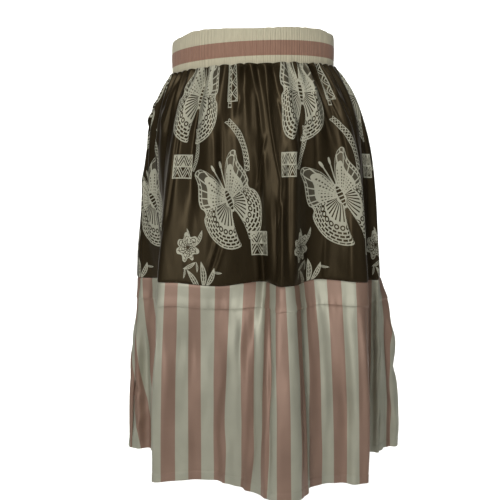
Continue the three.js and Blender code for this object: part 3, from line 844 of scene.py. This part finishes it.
def lowerEase(place, down):
    # The shift at the seam, going over to the shift at the hem
    share = np.clip(down / lowerHeight, 0, 1)
    seamEase, hemEase = (np.interp(place, easeRows[:, 0], easeRows[:, k]) for k in (1, 2))
    return (1 - share) * seamEase + share * hemEase


def upperEase(place, down):
    # The table's shift, and cloth let out on the crest of each gather and taken up in its valley
    fall = np.maximum(down, 0)
    fine = gathers["fineEase"] * np.cos(unevenTurn(place, *gathers["fineWave"]))
    fine = fine * np.exp(-fall / gathers["fineEaseFade"])
    softFade = (1 - np.exp(-fall / gathers["softRise"])) * np.maximum(0, 1 - down / upperHeight)
    soft = gathers["softEase"] * np.cos(unevenTurn(place, *gathers["softWave"])) * softFade
    depth = smooth(60, 140, down) * (1 - 0.45 * smooth(160, 260, down))
    return fine + soft + np.interp(place, printEaseRows[:, 0], printEaseRows[:, 1]) * depth


def makePanel(name, start, end, grid, point, materials):
    # A panel from one side seam to the next, drawn in a little at the sides and the seam of the tiers
    places = np.linspace(start + cloth["slit"], end - cloth["slit"], grid["columns"])
    place, down = np.meshgrid(places, grid["rows"])
    points = point(place, down)
    along = np.gradient(points, axis=1)
    level = np.stack([along[..., 1], -along[..., 0], np.zeros(place.shape)], -1)
    level /= np.linalg.norm(level, axis=-1, keepdims=True)
    isUpper = point is upperPoint
    toTierSeam = down - (upperHeight if isUpper else 0.0)
    points = points - level * seamTurn([place - start, end - place, toTierSeam])[..., None]
    ease = upperEase(place, down) if isUpper else lowerEase(place, down)
    clothMap = np.stack([place + ease, np.maximum(down, 0)], -1)
    return addWall(gridMesh(name, points, clothMap, materials), cloth["thickness"])


print("waistband: ribbed elastic ring")
band = {
    "columns": 1500, "length": 700.0,  # the elastic's own length round the waist
    "wall": 2.4, "ribHeight": 0.26, "ribs": (194, 1.4, 0.5), "creases": (131, 1.2, 0.9), "belly": 0.7,
    "groove": 0.35, "grooveWidth": 1.2,  # along each edge of the stripe
    "wobble": 0.35, "wobbleWave": (37, 0.9, 0.3),
}
# The slack of the elastic's upper edge: place across (x), lift
topRows = np.array([
    (-125, -2), (-107, 0), (-90, 3.2), (-68, 3.2), (-36, 0.6), (0, -1.4), (25, -1.4), (50, 0), (104, 0),
    (114, -2.5),
])


def bandProfile():
    # Up the outside, over the rolled top edge and down the inside: heights, and distances out
    turn = np.linspace(0, math.pi, 7)[1:-1]
    half, top = band["wall"] / 2, waist["height"] / 2
    outer, inner = np.linspace(-top, top - half, 26)[:-1], np.linspace(top - half, -top, 12)
    height = np.concatenate([outer, top - half + half * np.sin(turn), inner])
    reach = np.concatenate([np.full(outer.size, half), half * np.cos(turn), np.full(inner.size, -half)])
    return height, reach


def makeBand():
    # The profile carried round the waist's oval, its outside ribbed and its upper edge uneven
    height, reach = bandProfile()
    places = np.arange(band["columns"]) * cloth["round"] / band["columns"]
    place, row = np.meshgrid(places, np.arange(len(height)))
    high, out = height[row], reach[row]
    mapDown = waist["height"] / 2 - high
    crimp = unevenWave(place, *band["ribs"]) + 0.6 * unevenWave(place, *band["creases"])
    belly = band["belly"] * np.cos(math.pi * high / waist["height"])
    fromEdges = [(mapDown - edge) / band["grooveWidth"] for edge in bandColours["stripe"]]
    relief = band["ribHeight"] * crimp - band["groove"] * sum(np.exp(-(d**2)) for d in fromEdges)
    outside = smooth(-0.2, 0.6, out) * (0.55 + 0.45 * smooth(26, 18, np.abs(high)))
    push = out + belly + outside * relief
    flat = bandPlan(place, high) + outward(bandPlan, place, high) * push[..., None]
    wobble = band["wobble"] * unevenWave(place, *band["wobbleWave"]) * smooth(10, 26, high)
    lift = np.interp(flat[..., 0], topRows[:, 0], topRows[:, 1]) * smooth(2, 26, high)
    z = high + waist["tilt"] * flat[..., 0] + wobble + lift - waist["drop"] * smooth(0, -26, high)
    points = np.stack([flat[..., 0], flat[..., 1], z], -1)
    clothMap = np.stack([place * band["length"] / cloth["round"], mapDown], -1)
    return gridMesh("waistbandCloth", points[::-1], clothMap[::-1], [wovenElastic], True)


waistband = makeBand()
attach(waistband, "root")
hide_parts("waistband")

print("upper tier: two gathered panels")
frontSeams = (cloth["leftSeam"], cloth["rightSeam"])
backSeams = (cloth["rightSeam"], cloth["leftSeam"] + cloth["round"])
upperKind = (upperGrid, upperPoint, [printedSatin, satinBack])
upperFront = makePanel("upperFrontCloth", *frontSeams, *upperKind)
upperBack = makePanel("upperBackCloth", *backSeams, *upperKind)

print("lower tier: two striped panels with a tuck and a hem")
lowerKind = (lowerGrid, lowerPoint, [stripedSatin, stripedBack])
lowerFront = makePanel("lowerFrontCloth", *frontSeams, *lowerKind)
lowerBack = makePanel("lowerBackCloth", *backSeams, *lowerKind)
for piece, node, slotName in (
    (upperFront, "upper_front", "dark_satin"),
    (upperBack, "upper_back", "dark_satin"),
    (lowerFront, "lower_front", "striped_satin"),
    (lowerBack, "lower_back", "striped_satin"),
):
    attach(piece, "root")
    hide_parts(node)

print("stage, lights and camera")
stage = {"floor": -1.05, "colour": "#f4f4f2", "reach": 6.0, "bend": 1.2, "bendFrom": 2.2, "top": 5.0}
worldStrength = 0.06


def makeStage():
    # A floor that curves up into a backdrop: a quarter circle between two straight runs
    turn = np.linspace(0, math.pi / 2, 16)
    bend, back = stage["bend"], stage["bendFrom"] + stage["bend"]
    y = np.concatenate([[-stage["reach"]], stage["bendFrom"] + bend * np.sin(turn), [back]])
    z = np.concatenate([[0], bend - bend * np.cos(turn), [stage["top"]]]) + stage["floor"]
    x, row = np.meshgrid([-stage["reach"], stage["reach"]], np.arange(len(y)))
    points = np.stack([x, y[row], z[row]], -1)
    # Matt paper has no shine and takes a soft shadow
    material, tree = newMaterial("matt white studio paper")
    coordinates = addNode(tree, "TexCoord").outputs["Object"]
    grain = addNode(tree, "TexNoise", {"Vector": coordinates, "Scale": 60.0}).outputs[0]
    inputs = {"Strength": 0.05, "Distance": 0.001, "Height": grain}
    bump = addNode(tree, "Bump", inputs).outputs[0]
    finishMaterial(tree, linear(stage["colour"]), bump, {"Roughness": 0.9})
    sweep = gridMesh("studioSweep", points / mm, np.zeros((len(y), 2, 2)), [material])


makeStage()
world = bpy.data.worlds.new("studio")
bpy.context.scene.world = world
world.use_nodes = True
world.node_tree.nodes["Background"].inputs["Color"].default_value = (1, 1, 1, 1)
world.node_tree.nodes["Background"].inputs["Strength"].default_value = worldStrength

# Lights: name, place, aimed at, width and height (metres), power (watts), colour
lightRows = [
    ("key", (-0.4, -1.75, 0.6), (0, 0, -0.35), (0.35, 1.3), 28, (1, 0.98, 0.95)),
    ("fill", (1.3, -1.4, 0.5), (0, 0, -0.3), (0.5, 1.2), 3, (1, 0.98, 0.95)),
    ("backdrop", (0, 1.6, 1.6), (0, 3.3, -0.5), (4, 1.5), 150, (1, 1, 1)),
]
for name, place, aim, size, power, colour in lightRows:
    light = bpy.data.lights.new(name, "AREA")
    light.shape, light.size, light.size_y = "RECTANGLE", size[0], size[1]
    light.energy, light.color = power, colour
    lamp = bpy.data.objects.new(name, light)
    lamp.location = place
    direction = np.array(aim, float) - np.array(place, float)
    level = math.hypot(direction[0], direction[1])
    lamp.rotation_euler = (math.atan2(level, -direction[2]), 0, math.atan2(-direction[0], direction[1]))
    bpy.context.scene.collection.objects.link(lamp)

bpy.context.scene.view_settings.view_transform = "Standard"
view = {"place": (0, -1.243, -0.208), "tip": 4.5, "sensor": 36.0, "focal": 55.944, "shift": -0.006}
lens = bpy.data.cameras.new("camera")
lens.sensor_width, lens.lens = view["sensor"], view["focal"]
lens.shift_x = view["shift"]
camera = bpy.data.objects.new("camera", lens)
camera.location = view["place"]
camera.rotation_euler = (math.radians(90 - view["tip"]), 0, 0)
bpy.context.scene.collection.objects.link(camera)
bpy.context.scene.camera = camera
